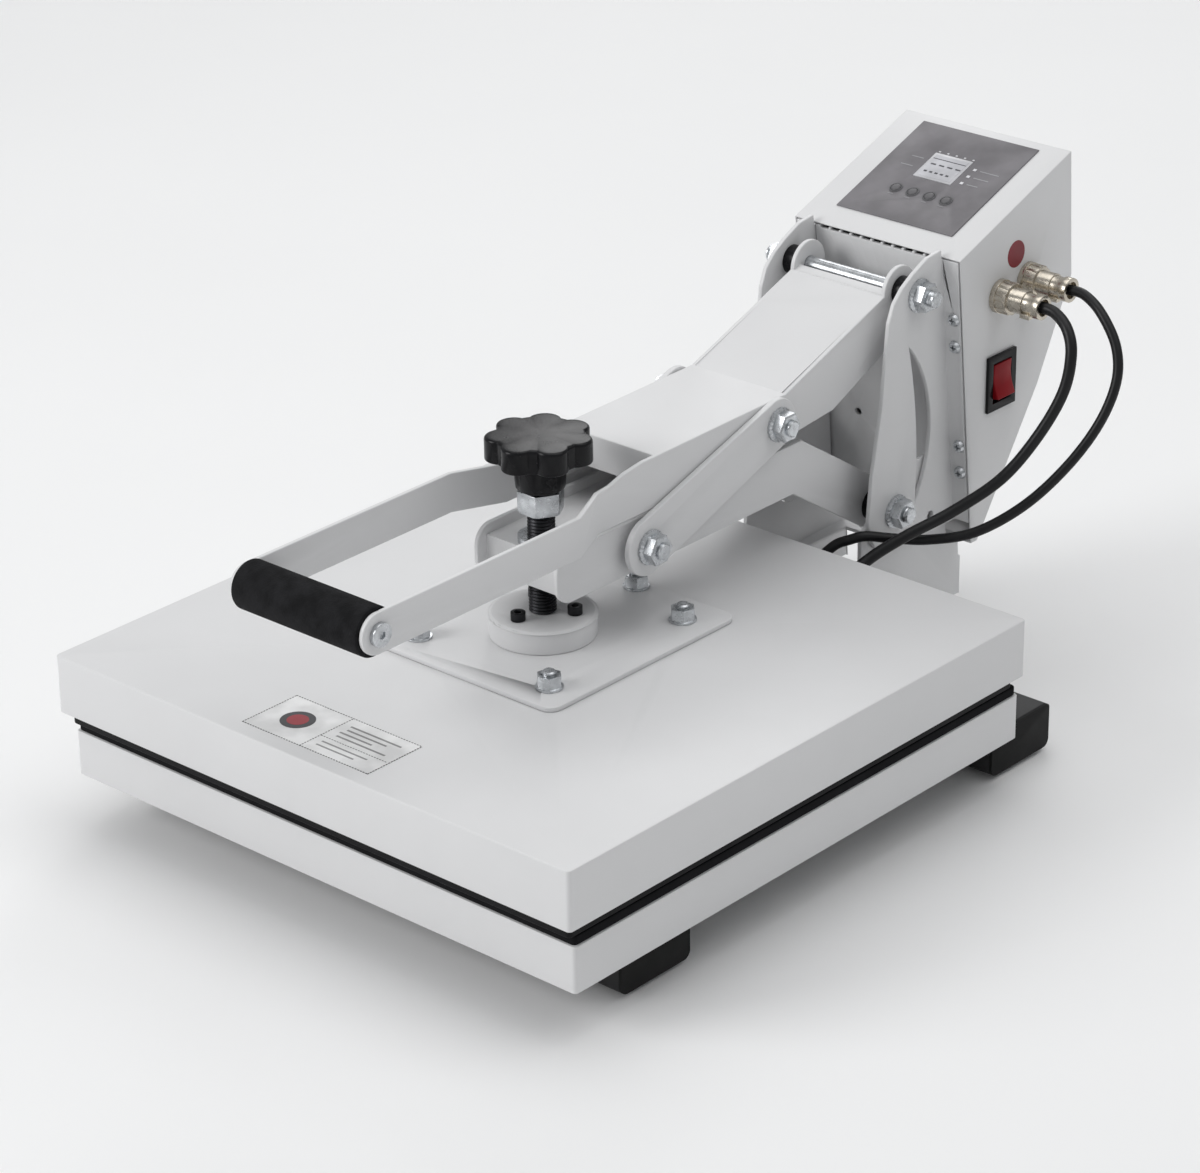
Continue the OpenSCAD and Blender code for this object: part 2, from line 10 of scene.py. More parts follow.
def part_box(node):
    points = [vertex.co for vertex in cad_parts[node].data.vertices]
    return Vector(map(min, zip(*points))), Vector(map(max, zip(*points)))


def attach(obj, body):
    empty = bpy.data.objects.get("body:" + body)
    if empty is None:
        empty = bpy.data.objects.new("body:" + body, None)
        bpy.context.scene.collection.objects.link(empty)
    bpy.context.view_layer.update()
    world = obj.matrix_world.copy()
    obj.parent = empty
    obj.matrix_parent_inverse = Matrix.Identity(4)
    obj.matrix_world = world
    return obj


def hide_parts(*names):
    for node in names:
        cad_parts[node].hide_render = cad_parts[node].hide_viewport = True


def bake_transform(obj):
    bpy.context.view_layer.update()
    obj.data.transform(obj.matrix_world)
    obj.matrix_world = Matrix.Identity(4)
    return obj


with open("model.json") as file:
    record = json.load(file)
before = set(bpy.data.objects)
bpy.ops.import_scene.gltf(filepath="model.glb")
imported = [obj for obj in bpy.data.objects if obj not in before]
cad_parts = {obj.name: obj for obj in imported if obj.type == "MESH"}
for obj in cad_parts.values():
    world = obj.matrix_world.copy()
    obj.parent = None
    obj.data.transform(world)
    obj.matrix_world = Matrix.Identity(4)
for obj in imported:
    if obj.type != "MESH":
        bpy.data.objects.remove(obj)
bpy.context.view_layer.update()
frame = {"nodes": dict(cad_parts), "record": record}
NODES = frame["nodes"]
BODY = {node: body for body, group in frame["record"]["behaviour"]["bodies"].items() for node in group}
SLOT = {part["node"]: part["material_slot"] for part in frame["record"]["subparts"]}
LINK = bpy.context.scene.collection.objects.link

COVER_LOW, COVER_HIGH = (Vector(corner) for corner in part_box("head_cover"))
COVER_TOP = Vector(((COVER_LOW.x + COVER_HIGH.x) / 2, (COVER_LOW.y + COVER_HIGH.y) / 2, COVER_HIGH.z))
ALONG_X = (1, 0, 0)
ALONG_Z = (0, 0, 1)
SIDES = ((-1, "l"), (1, "r"))


def at(x, y, z):
    """Metres in the frame from millimetres counted from the middle of the cover's top."""
    return COVER_TOP + Vector((x, y, z)) / 1000


# ---------------------------------------------------------------- camera
AZIMUTH = math.radians(41.961)
ELEVATION = math.radians(24.991)
ROLL = math.radians(-0.785)
CAMERA_PLACE = at(1410.4, -1520.1, 997.5)
LENS = 121.75
SENSOR_WIDTH = 36
CLIP_END = 60


def add_camera():
    """The camera in front of the press and above it, with a slight roll."""
    back = Vector((math.sin(AZIMUTH) * math.cos(ELEVATION), -math.cos(AZIMUTH) * math.cos(ELEVATION),
                   math.sin(ELEVATION)))
    level = (-back).cross(Vector(ALONG_Z)).normalized()
    steep = level.cross(-back)
    right = math.cos(ROLL) * level + math.sin(ROLL) * steep
    up = -math.sin(ROLL) * level + math.cos(ROLL) * steep
    camera = bpy.data.objects.new("camera", bpy.data.cameras.new("camera"))
    camera.data.sensor_width = SENSOR_WIDTH
    camera.data.lens = LENS
    camera.data.clip_end = CLIP_END
    turn = Matrix((right, up, back)).transposed().to_4x4()
    camera.matrix_world = Matrix.Translation(CAMERA_PLACE) @ turn
    LINK(camera)
    bpy.context.scene.camera = camera


add_camera()


# ---------------------------------------------------------------- materials
class Shader:
    """A principled material with procedural colour, roughness and bump."""

    def __init__(self, name, color, rough, metal=0.0, **sockets):
        self.mat = bpy.data.materials.new(name)
        self.mat.use_nodes = True
        self.tree = self.mat.node_tree
        self.bsdf = self.tree.nodes["Principled BSDF"]
        self.color = color
        self.bsdf.inputs["Base Color"].default_value = (*color, 1)
        self.bsdf.inputs["Roughness"].default_value = rough
        self.bsdf.inputs["Metallic"].default_value = metal
        for key, value in sockets.items():
            self.bsdf.inputs[key.replace("_", " ")].default_value = value
        self.coord = self.tree.nodes.new("ShaderNodeTexCoord").outputs["Object"]
        self.normal = None

    def node(self, kind, **inputs):
        """A new node with some of its inputs set."""
        n = self.tree.nodes.new(kind)
        for key, value in inputs.items():
            n.inputs[key].default_value = value
        return n

    def noise(self, scale, detail=4.0, stretch=None):
        """Noise on the piece's own coordinates, which stretch scales axis by axis."""
        n = self.node("ShaderNodeTexNoise", Scale=scale, Detail=detail)
        source = self.coord
        if stretch:
            m = self.node("ShaderNodeMapping", Scale=stretch)
            self.tree.links.new(source, m.inputs["Vector"])
            source = m.outputs["Vector"]
        self.tree.links.new(source, n.inputs["Vector"])
        return n.outputs["Fac"]

    def bump(self, height, strength, distance):
        """Bump on top of any bump before it."""
        b = self.node("ShaderNodeBump", Strength=strength, Distance=distance)
        self.tree.links.new(height, b.inputs["Height"])
        if self.normal:
            self.tree.links.new(self.normal, b.inputs["Normal"])
        self.normal = b.outputs["Normal"]
        self.tree.links.new(self.normal, self.bsdf.inputs["Normal"])
        return self

    def tint(self, factor, low, high, spread=(0.35, 0.65)):
        """The colour times low to high, as factor goes over spread."""
        ramp = self.tree.nodes.new("ShaderNodeValToRGB")
        ramp.color_ramp.elements[0].position, ramp.color_ramp.elements[1].position = spread
        ramp.color_ramp.elements[0].color = (*[c * low for c in self.color], 1)
        ramp.color_ramp.elements[1].color = (*[min(1, c * high) for c in self.color], 1)
        self.tree.links.new(factor, ramp.inputs["Fac"])
        self.tree.links.new(ramp.outputs["Color"], self.bsdf.inputs["Base Color"])
        return self

    def gloss(self, factor, low, high):
        """Roughness from low to high, as factor goes from 0 to 1."""
        m = self.tree.nodes.new("ShaderNodeMapRange")
        m.inputs["To Min"].default_value = low
        m.inputs["To Max"].default_value = high
        self.tree.links.new(factor, m.inputs["Value"])
        self.tree.links.new(m.outputs["Result"], self.bsdf.inputs["Roughness"])
        return self


def powder_coat(name, color, rough):
    """Baked paint with a fine orange-peel surface."""
    s = Shader(name, color, rough)
    s.tint(s.noise(7, 3), 0.975, 1.02).gloss(s.noise(60), rough - 0.06, rough + 0.07)
    return s.bump(s.noise(1500, 3), 0.22, 0.00012).bump(s.noise(240, 2), 0.10, 0.0003).mat


def zinc(name, color, rough):
    """Plated or oxidised metal with faint blotches."""
    s = Shader(name, color, rough, 1.0)
    s.tint(s.noise(180, 5), 0.82, 1.08).gloss(s.noise(420, 5), rough - 0.09, rough + 0.13)
    return s.bump(s.noise(900, 4, (1, 1, 6)), 0.2, 0.00015).mat


def plastic(name, color, rough, grain=2200, strength=0.25, **sockets):
    """Moulded plastic, rubber, film or ink, with a grain of its own."""
    s = Shader(name, color, rough, **sockets)
    s.tint(s.noise(40, 3), 0.85, 1.2).gloss(s.noise(90), rough - 0.06, rough + 0.08)
    return s.bump(s.noise(grain, 2), strength, 0.00012).mat


def foam():
    """Black closed-cell foam."""
    s = Shader("foam_grip", (0.010, 0.010, 0.011), 0.9, Specular_IOR_Level=0.15)
    cells = s.node("ShaderNodeTexVoronoi", Scale=950)
    s.tree.links.new(s.coord, cells.inputs["Vector"])
    s.tint(s.noise(120), 0.7, 1.5)
    return s.bump(cells.outputs["Distance"], 0.55, 0.0004).bump(s.noise(2600), 0.3, 0.0002).mat


def wool():
    """Fibrous insulation board."""
    s = Shader("mineral_board", (0.62, 0.56, 0.42), 0.95)
    s.tint(s.noise(300, 6, (1, 1, 5)), 0.7, 1.2)
    return s.bump(s.noise(700, 6, (1, 1, 5)), 0.6, 0.0006).mat


MAT = {
    "white_paint": powder_coat("white_powder_coat", (0.70, 0.70, 0.705), 0.43),
    "black_paint": powder_coat("black_paint", (0.012, 0.012, 0.013), 0.42),
    "black_rubber": plastic("black_rubber", (0.010, 0.010, 0.010), 0.7, 1400, 0.4,
                            Specular_IOR_Level=0.25),
    "zinc_steel": zinc("zinc_plate", (0.62, 0.64, 0.66), 0.27),
    "silicone": plastic("silicone_sponge", (0.007, 0.007, 0.008), 0.8, 1100, 0.5,
                        Specular_IOR_Level=0.12),
    "panel_grey": plastic("panel_film", (0.155, 0.148, 0.158), 0.5, 1700, 0.3),
    "display_glass": plastic("display_frame", (0.52, 0.52, 0.54), 0.3, 2500, 0.1),
    "board_green": plastic("board", (0.02, 0.12, 0.05), 0.4),
    "black_plastic": plastic("moulded_black", (0.006, 0.006, 0.007), 0.24, 1900, 0.2,
                             Specular_IOR_Level=0.2),
    "button_grey": plastic("button_grey", (0.105, 0.102, 0.108), 0.45),
    "rocker_red": plastic("rocker_red", (0.22, 0.004, 0.008), 0.34, 2600, 0.06,
                          Specular_IOR_Level=0.14),
    "lead_rubber": plastic("lead_rubber", (0.008, 0.008, 0.009), 0.38, 800, 0.2,
                           Specular_IOR_Level=0.3),
    "grip_foam": foam(),
    "black_oxide": zinc("black_oxide", (0.035, 0.035, 0.038), 0.34),
    "insulation_wool": wool(),
    "element_steel": zinc("element_sheath", (0.25, 0.22, 0.20), 0.45),
    "heat_plate_coat": plastic("non_stick_coat", (0.007, 0.007, 0.008), 0.5, 2400, 0.2,
                               Specular_IOR_Level=0.12),
}
NICKEL = zinc("nickel_warm", (0.60, 0.55, 0.47), 0.24)
for name, obj in NODES.items():
    for material_slot in obj.material_slots:
        material_slot.material = MAT[SLOT[name]]


# ---------------------------------------------------------------- mesh helpers
def mesh_object(name, verts, faces, finish, sharp=35, body=None):
    """A piece from points and faces. finish is a slot's name or a material, and sharp is in degrees."""
    me = bpy.data.meshes.new(name)
    me.from_pydata([tuple(v) for v in verts], [], faces)
    me.validate()
    bm = bmesh.new()
    bm.from_mesh(me)
    bmesh.ops.recalc_face_normals(bm, faces=bm.faces)
    bm.to_mesh(me)
    bm.free()
    me.shade_smooth()
    me.set_sharp_from_angle(angle=math.radians(sharp))
    ob = bpy.data.objects.new(name, me)
    me.materials.append(MAT[finish] if isinstance(finish, str) else finish)
    LINK(ob)
    if body:
        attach(ob, body)
    return ob


def side_faces(rings, sides, first=0):
    """Faces that join each ring of points to the next. first is the first point's number."""
    starts = [first + i * sides for i in range(rings - 1)]
    return [(s + k, s + (k + 1) % sides, s + sides + (k + 1) % sides, s + sides + k)
            for s in starts for k in range(sides)]


def closed_faces(rings, sides, first=0):
    """side_faces() and a flat face over each end."""
    ends = (first, first + (rings - 1) * sides)
    return side_faces(rings, sides, first) + [tuple(range(s, s + sides)) for s in ends]


def round_steps(a, b, sides):
    """Directions evenly round the plane of a and b."""
    turns = (2 * math.pi * k / sides for k in range(sides))
    return [math.cos(turn) * a + math.sin(turn) * b for turn in turns]


def sweep(name, path, radius, finish, sides=20):
    """A closed tube along a path, with frames carried along it without twist."""
    verts = []
    last = len(path) - 1
    a = (path[1] - path[0]).normalized().orthogonal().normalized()
    for i, p in enumerate(path):
        t = (path[min(i + 1, last)] - path[max(i - 1, 0)]).normalized()
        a = (a - t * a.dot(t)).normalized()
        verts += [p + radius * step for step in round_steps(a, t.cross(a), sides)]
    return mesh_object(name, verts, closed_faces(len(path), sides), finish, 50)


def lathe(name, body, origin, axis, profile, finish, sides=40, sharp=35):
    """A closed solid turned about axis: profile is a list of (distance along the axis, radius) in mm."""
    axis = Vector(axis).normalized()
    a = axis.orthogonal().normalized()
    steps = round_steps(a, axis.cross(a), sides)
    verts = [origin + axis * s / 1000 + r / 1000 * step for s, r in profile for step in steps]
    return mesh_object(name, verts, closed_faces(len(profile), sides), finish, sharp, body)


def chamfered(start, end, radius, run, drop):
    """The profile of a cylinder whose edges are cut back by run along it and drop across it, in mm."""
    return [(start, radius - drop), (start + run, radius), (end - run, radius), (end, radius - drop)]


def thread(start, end, radius, pitch, depth):
    """The profile of a threaded rod, one ridge for each turn, with a chamfer at each end, in mm."""
    first, second, third, fourth = chamfered(start, end, radius, 0.7, 0.8)
    profile, s = [first, second], second[0]
    while s + pitch < third[0]:
        profile += [(s + pitch * 0.5, radius - depth), (s + pitch, radius)]
        s += pitch
    return profile + [third, fourth]


MERGE_WITHIN = 2e-6
FLAT_WITHIN = math.radians(0.6)
HARD_EDGE = math.radians(32)


def soften(node, width, segments=3):
    """A copy of a CAD node's mesh that stands for it, with flat regions joined and hard edges rounded."""
    bm = bmesh.new()
    bm.from_mesh(NODES[node].data)
    bmesh.ops.remove_doubles(bm, verts=bm.verts, dist=MERGE_WITHIN)
    bmesh.ops.dissolve_limit(bm, angle_limit=FLAT_WITHIN, verts=bm.verts, edges=bm.edges)
    me = bpy.data.meshes.new("edge_" + node)
    bm.to_mesh(me)
    bm.free()
    ob = bpy.data.objects.new("edge_" + node, me)
    ob.matrix_world = NODES[node].matrix_world.copy()
    LINK(ob)
    bevel = ob.modifiers.new("edge", "BEVEL")
    bevel.width = width
    bevel.segments = segments
    bevel.limit_method = "ANGLE"
    bevel.angle_limit = HARD_EDGE
    bevel.use_clamp_overlap = False
    bpy.context.view_layer.update()
    final = bpy.data.meshes.new_from_object(ob.evaluated_get(bpy.context.evaluated_depsgraph_get()))
    ob.modifiers.clear()
    ob.data = final
    final.shade_smooth()
    final.set_sharp_from_angle(angle=HARD_EDGE)
    final.materials.clear()
    final.materials.append(MAT[SLOT[node]])
    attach(ob, BODY[node])
    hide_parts(node)
    return ob


# ---------------------------------------------------------------- leads
POWER = [(93, 341, 122), (104, 341, 121), (117, 336, 115), (124, 331, 102), (124, 324, 80), (115, 312, 53),
         (102, 295, 28), (86, 270, 11), (73, 246, 1), (64, 230, -7), (59, 219, -13), (57, 210, -17),
         (57, 203, -18), (57, 196, -18), (57, 188, -18)]
SENSOR = [(93, 369, 125), (106, 368, 125), (123, 362, 119), (138, 357, 103), (144, 350, 84), (141, 338, 60),
          (131, 320, 35), (115, 300, 12), (96, 278, -3), (76, 259, -7), (61, 243, -5), (51, 230, -2),
          (44, 223, -4), (38, 218, -7), (33, 212, -13), (30, 206, -17), (30, 202, -18), (30, 196, -18),
          (30, 188, -18)]
POWER_RADIUS = 3.55
SENSOR_RADIUS = 3.15


def smooth_path(points, steps=8):
    """A smooth curve through points, with a number of steps between each two."""
    out = []
    for i in range(len(points) - 1):
        a, b, c, d = (points[max(i - 1, 0)], points[i], points[i + 1], points[min(i + 2, len(points) - 1)])
        for j in range(steps):
            t = j / steps
            out.append(0.5 * (2 * b + (c - a) * t + (2 * a - 5 * b + 4 * c - d) * t * t
                              + (3 * b - a - 3 * c + d) * t * t * t))
    return out + [points[-1]]


def lead(name, node, points, radius):
    """A lead from its socket on the box to its gland on the head."""
    path = smooth_path([at(*p) for p in points])
    ob = sweep(name, path, radius / 1000, "lead_rubber")
    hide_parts(node)
    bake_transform(ob)


lead("lead_power", "power_lead", POWER, POWER_RADIUS)
lead("lead_sensor", "sensor_lead", SENSOR, SENSOR_RADIUS)

# ---------------------------------------------------------------- rounded edges
# Each row is the edge's width in metres, its segments and the nodes.
EDGES = (
    (0.0007, 3, ("head_cover",)),
    (0.0006, 3, ("lower_tray", "base_beam", "control_box", "front_plate")),
    (0.0007, 3, ("cheek_left", "cheek_right", "link_left", "link_right", "lever", "main_arm",
                 "mount_plate")),
    (0.0003, 2, ("foot_front", "foot_rear", "foot_caps", "switch_bezel", "mains_inlet", "panel_overlay")),
    (0.0009, 3, ("thrust_boss",)),
    (0.0006, 3, ("rocker",)),
    (0.0004, 3, ("lever_crossbar",)),
    (0.0008, 3, ("silicone_pad", "heat_plate")),
    (0.0002, 2, ("lock_nut", "mount_nuts", "lead_glands", "keeper_screws", "plate_screws", "button_1",
                 "button_2", "button_3", "button_4", "display_window", "foot_pads", "foot_bolts",
                 "grip_screws")),
)
for width, segments, nodes in EDGES:
    for node in nodes:
        soften(node, width, segments)
for node in ("power_socket", "sensor_socket"):
    socket = soften(node, 0.0002, 2)
    socket.data.materials[0] = NICKEL

# ---------------------------------------------------------------- foam grip
GRIP_LENGTH = 93.6
GRIP_BORE = 9.3
GRIP_RADIUS = 14.3
GRIP_START = at(-GRIP_LENGTH / 2, -180, 83.5)


def grip():
    """The foam sleeve on the handle, with rounded ends."""
    ends = ((0, 1.1), (0.35, 0.4), (1.1, 0))
    profile = [(0, GRIP_BORE)]
    profile += [(s, GRIP_RADIUS - drop) for s, drop in ends]
    profile += [(4 + i * 4.29, GRIP_RADIUS) for i in range(21)]
    profile += [(GRIP_LENGTH - s, GRIP_RADIUS - drop) for s, drop in reversed(ends)]
    profile += [(GRIP_LENGTH, GRIP_BORE)]
    sleeve = lathe("foam_sleeve", "hand_lever", GRIP_START, ALONG_X, profile, "grip_foam", 64)
    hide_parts("grip_foam")


grip()

# ---------------------------------------------------------------- pressure screw
THRUST_LOW, THRUST_HIGH, THRUST_RADIUS = 4, 8.6, 10
NECK_TOP, NECK_RADIUS = 17.4, 6
SCREW_TOP, SCREW_RADIUS, SCREW_PITCH = 110.4, 8, 2


def pressure_screw():
    """The black screw: a thrust disc in the boss, a thin neck and the threaded rod up into the knob."""
    profile = chamfered(THRUST_LOW, THRUST_HIGH, THRUST_RADIUS, 0.4, 0.4)
    profile += [(THRUST_HIGH, NECK_RADIUS), (NECK_TOP, NECK_RADIUS)]
    profile += thread(NECK_TOP, SCREW_TOP, SCREW_RADIUS, SCREW_PITCH, 0.75)
    screw = lathe("screw_thread", "pressure_knob", at(0, 0, 0), ALONG_Z, profile, "black_oxide", 40, 25)
    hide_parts("pressure_screw")


pressure_screw()

# ---------------------------------------------------------------- knob
KNOB_LOBES = 7
KNOB_PHASE = math.radians(21.5)
LOBE_FROM_AXIS, LOBE_RADIUS = 21.5, 9.5
HOLLOW_FROM_AXIS, HOLLOW_RADIUS = 33, 6.2
FLUTE_FROM_AXIS, FLUTE_RADIUS = 18.6, 4.4
WEB_RADIUS = 26.0
HUB_LOW, HUB_TALL, HUB_RADIUS, HUB_FLARE = 93, 20.5, 14, 2
RIM_LOW, RIM_LOW_ROUND = 111, 1.2
RIM_HIGH, RIM_HIGH_ROUND = 125.2, 2
DOME_RISE = 0.8


def nearest_angle(theta, offset):
    """Angle from theta to the nearest lobe (offset 0) or hollow between two lobes (offset 0.5)."""
    step = 2 * math.pi / KNOB_LOBES
    a = (theta - KNOB_PHASE) / step - offset
    return (a - round(a)) * step


def with_lobe(r, angle, distance, radius):
    """The larger of r and where a ray leaves a circle, at angle from the line to its centre."""
    off_line = distance * math.sin(angle)
    if abs(off_line) < radius:
        r = max(r, distance * math.cos(angle) + math.sqrt(radius ** 2 - off_line ** 2))
    return r


def with_hollow(r, angle, distance, radius):
    """The smaller of r and where a ray enters a circle, at angle from the line to its centre."""
    off_line = distance * math.sin(angle)
    if abs(off_line) < radius:
        r = min(r, distance * math.cos(angle) - math.sqrt(radius ** 2 - off_line ** 2))
    return r


def rim_radius(theta):
    """The lobed rim's radius at an angle."""
    r = with_lobe(WEB_RADIUS, nearest_angle(theta, 0), LOBE_FROM_AXIS, LOBE_RADIUS)
    return with_hollow(r, nearest_angle(theta, 0.5), HOLLOW_FROM_AXIS, HOLLOW_RADIUS)


def hub_radius(theta, z):
    """The fluted hub's radius at an angle and a height: it widens upwards."""
    r = HUB_RADIUS + HUB_FLARE * (z - HUB_LOW) / HUB_TALL
    return with_hollow(r, nearest_angle(theta, 0.5), FLUTE_FROM_AXIS, FLUTE_RADIUS)


def knob_levels(angles):
    """From the hub's foot to the rim's top: a height, and the radius there at each angle."""
    hub_foot = ((HUB_LOW, 1.0), (HUB_LOW + 0.3, 0.4), (HUB_LOW + 1, 0), (100, 0), (106, 0), (RIM_LOW, 0))
    levels = [(z, [hub_radius(a, z) - inset for a in angles]) for z, inset in hub_foot]
    rim = [rim_radius(a) for a in angles]
    for step in range(5):
        turn = math.radians(22.5 * step)
        inset = RIM_LOW_ROUND * (1 - math.sin(turn))
        levels.append((RIM_LOW + RIM_LOW_ROUND * (1 - math.cos(turn)), [r - inset for r in rim]))
    for step in range(7):
        turn = math.radians(15 * step)
        inset = RIM_HIGH_ROUND * (1 - math.cos(turn))
        levels.append((RIM_HIGH - RIM_HIGH_ROUND * (1 - math.sin(turn)), [r - inset for r in rim]))
    for scale in (0.93, 0.8, 0.6, 0.35):
        fill = 20 * scale * (1 - scale)
        z = RIM_HIGH + DOME_RISE * (1 - scale ** 2)
        levels.append((z, [(r * scale - 2) * scale + fill for r in rim]))
    return levels


def knob_shell(sides=336):
    """The lobed knob: fluted hub, rim with rounded edges and a slightly domed top."""
    angles = [2 * math.pi * k / sides for k in range(sides)]
    levels = knob_levels(angles)
    verts = [at(r * math.cos(a), r * math.sin(a), z) for z, radii in levels for a, r in zip(angles, radii)]
    top = len(verts)
    bottom = top + 1
    last = top - sides
    verts += [at(0, 0, RIM_HIGH + DOME_RISE), at(0, 0, HUB_LOW)]
    faces = side_faces(len(levels), sides)
    faces += [(last + k, last + (k + 1) % sides, top) for k in range(sides)]
    faces += [((k + 1) % sides, k, bottom) for k in range(sides)]
    shell = mesh_object("knob_shell", verts, faces, "black_plastic", 40, "pressure_knob")
    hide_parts("knob")


knob_shell()

# ---------------------------------------------------------------- pivot bolts, flange nuts, studs
BOLT_RADIUS = 5
BOLT_THREAD = 4.98
NUT_ACROSS_FLATS = 16
NUT_BORE_END = 8.6
FLANGE_RADIUS = 10.5
FLANGE_POINTS = 60
SERRATION = 0.45
# Each ring of a nut is its distance from the seat and its scale.
FLANGE_RINGS = ((0, 1.0), (1.4, 1.0), (2.4, 0.84))
HEXAGON_RINGS = ((2, 1.0), (8.2, 1.0), (9, 0.9))
# For each pivot: its body, its place (y, z), how far out the nuts sit, and the bolt's end at each side.
PIVOTS = {
    "pivot_bolt_upper": ("base", (278.5, 137.3), 50.1, (64, 64)),
    "pivot_bolt_lower": ("base", (260, 4), 50.1, (60, 62)),
    "front_bolts": ("swing_arm", (46, 52), 40.8, (52, 52)),
}
FRONT_PIVOT = PIVOTS["front_bolts"][1]
COLLAR_SEAT = 31.7
MIDDLE_PIVOT = (160, 90)
MIDDLE_SEAT, MIDDLE_TIP = 40.6, 11.4
STUB_NEAR, STUB_FAR = 36.5, 47
STUDS = ((-50, -50), (50, -50), (-50, 63), (50, 63), (0, 80))


def polygon(sides, radius, notch=0, every=1):
    """Points evenly round a circle, each one that every divides drawn in by notch."""
    radii = [radius - (notch if k % every == 0 else 0) for k in range(sides)]
    return [(r * math.cos(2 * math.pi * k / sides), r * math.sin(2 * math.pi * k / sides))
            for k, r in enumerate(radii)]


def flange_nut(name, origin, side, body, bolt_end):
    """Serrated flange nut on a threaded tip, standing at origin and facing side (+1 or -1) along X."""
    flange = polygon(FLANGE_POINTS, FLANGE_RADIUS, SERRATION, 3)
    hexagon = polygon(6, NUT_ACROSS_FLATS / math.sqrt(3))
    verts, faces = [], []
    for outline, rings in ((flange, FLANGE_RINGS), (hexagon, HEXAGON_RINGS)):
        faces += closed_faces(len(rings), len(outline), len(verts))
        verts += [origin + Vector((side * s, u * scale, v * scale)) / 1000
                  for s, scale in rings for u, v in outline]
    mesh_object(name, verts, faces, "zinc_steel", 20, body)
    tip = thread(NUT_BORE_END, bolt_end, BOLT_THREAD, 1.5, 0.5)
    lathe(name + "_tip", body, origin, (side, 0, 0), tip, "zinc_steel", 32, 25)


def shaft(name, place, x0, x1, body):
    """A plain round bar across the press from x0 to x1."""
    profile = chamfered(0, x1 - x0, BOLT_RADIUS, 0.3, 0.3)
    return lathe(name, body, at(x0, *place), ALONG_X, profile, "zinc_steel")


def pivot_bolt(node, body, place, seat, ends):
    """A bolt through a pivot, with a flange nut at each side."""
    bar = shaft(node + "_shaft", place, -seat - 6, seat + 6, body)
    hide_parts(node)
    for (side, tag), end in zip(SIDES, ends):
        flange_nut(f"{node}_nut_{tag}", at(side * seat, *place), side, body, end - seat)


def front_collar(side, tag):
    """The spacer ring between the arm and a link bar."""
    bore = 5.1
    thick = 4.5
    profile = [(0, bore)] + chamfered(0, thick, 9.5, 0.3, 0.2) + [(thick, bore)]
    place = at(side * COLLAR_SEAT, *FRONT_PIVOT)
    lathe(f"front_collar_{tag}", "swing_arm", place, (side, 0, 0), profile, "zinc_steel")


def middle_stub(side, tag):
    """The short bolt in a link bar's rear end, with its nut."""
    low, high = sorted((side * STUB_NEAR, side * STUB_FAR))
    stub = shaft(f"mid_stub_{tag}", MIDDLE_PIVOT, low, high, "link_bars")
    flange_nut(f"mid_nut_{tag}", at(side * MIDDLE_SEAT, *MIDDLE_PIVOT), side, "link_bars", MIDDLE_TIP)
    if side > 0:
        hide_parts("mid_bolts")


def mount_stud(number, x, y):
    """A threaded stud that stands up through the mount plate."""
    profile = [(-35.8, 4)] + thread(0, 13.7, 4, 1.25, 0.4)
    stud = lathe(f"stud_{number}", "heated_head", at(x, y, 0), ALONG_Z, profile, "zinc_steel", 28, 25)
    if number == 0:
        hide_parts("mount_studs")


for node, (body, place, seat, ends) in PIVOTS.items():
    pivot_bolt(node, body, place, seat, ends)
for side, tag in SIDES:
    front_collar(side, tag)
    middle_stub(side, tag)
for number, (x, y) in enumerate(STUDS):
    mount_stud(number, x, y)


# ---------------------------------------------------------------- flat prints
def flat(name, rects, place, body, color, rough=0.5):
    """Thin printed shapes. rects are (x0, y0, x1, y1, lift) in mm, and place() puts them in the frame."""
    thick = 0.15
    ink = plastic("ink_" + name, color, rough, 2600, 0.08)
    verts, faces = [], []
    for x0, y0, x1, y1, lift in rects:
        b = len(verts)
        corners = ((x0, y0), (x1, y0), (x1, y1), (x0, y1))
        verts += [place(x, y, h) for h in (lift - thick, lift) for x, y in corners]
        faces += [(b, b + 3, b + 2, b + 1), (b + 4, b + 5, b + 6, b + 7)]
        faces += [(b + k, b + (k + 1) % 4, b + 4 + (k + 1) % 4, b + 4 + k) for k in range(4)]
    mesh_object(name, verts, faces, ink, body=body)


def disc(name, body, origin, axis, radius, height, ink):
    """A thin round print."""
    lathe(name, body, origin, axis, [(0, radius), (height, radius)], ink, 48)


def dashes(x0, y0, x1, y1, w, lift, dash=1.3, pitch=2.0):
    """A dashed line of width w along X or Y, as rects for flat()."""
    along_x = x1 - x0 > y1 - y0
    n = int((x1 - x0 if along_x else y1 - y0) / pitch)
    if along_x:
        return [(x0 + i * pitch, y0, x0 + i * pitch + dash, y0 + w, lift) for i in range(n)]
    return [(x0, y0 + i * pitch, x0 + w, y0 + i * pitch + dash, lift) for i in range(n)]


# ---------------------------------------------------------------- label on the cover
LABEL_LEFT, LABEL_RIGHT = -54, 42
LABEL_FRONT, LABEL_BACK = -184.5, -142.5
LABEL_SPLIT = -10
LABEL_LINE = 0.6
INK_LIFT = 0.2
MARK_PLACE = (-32, -163.5)


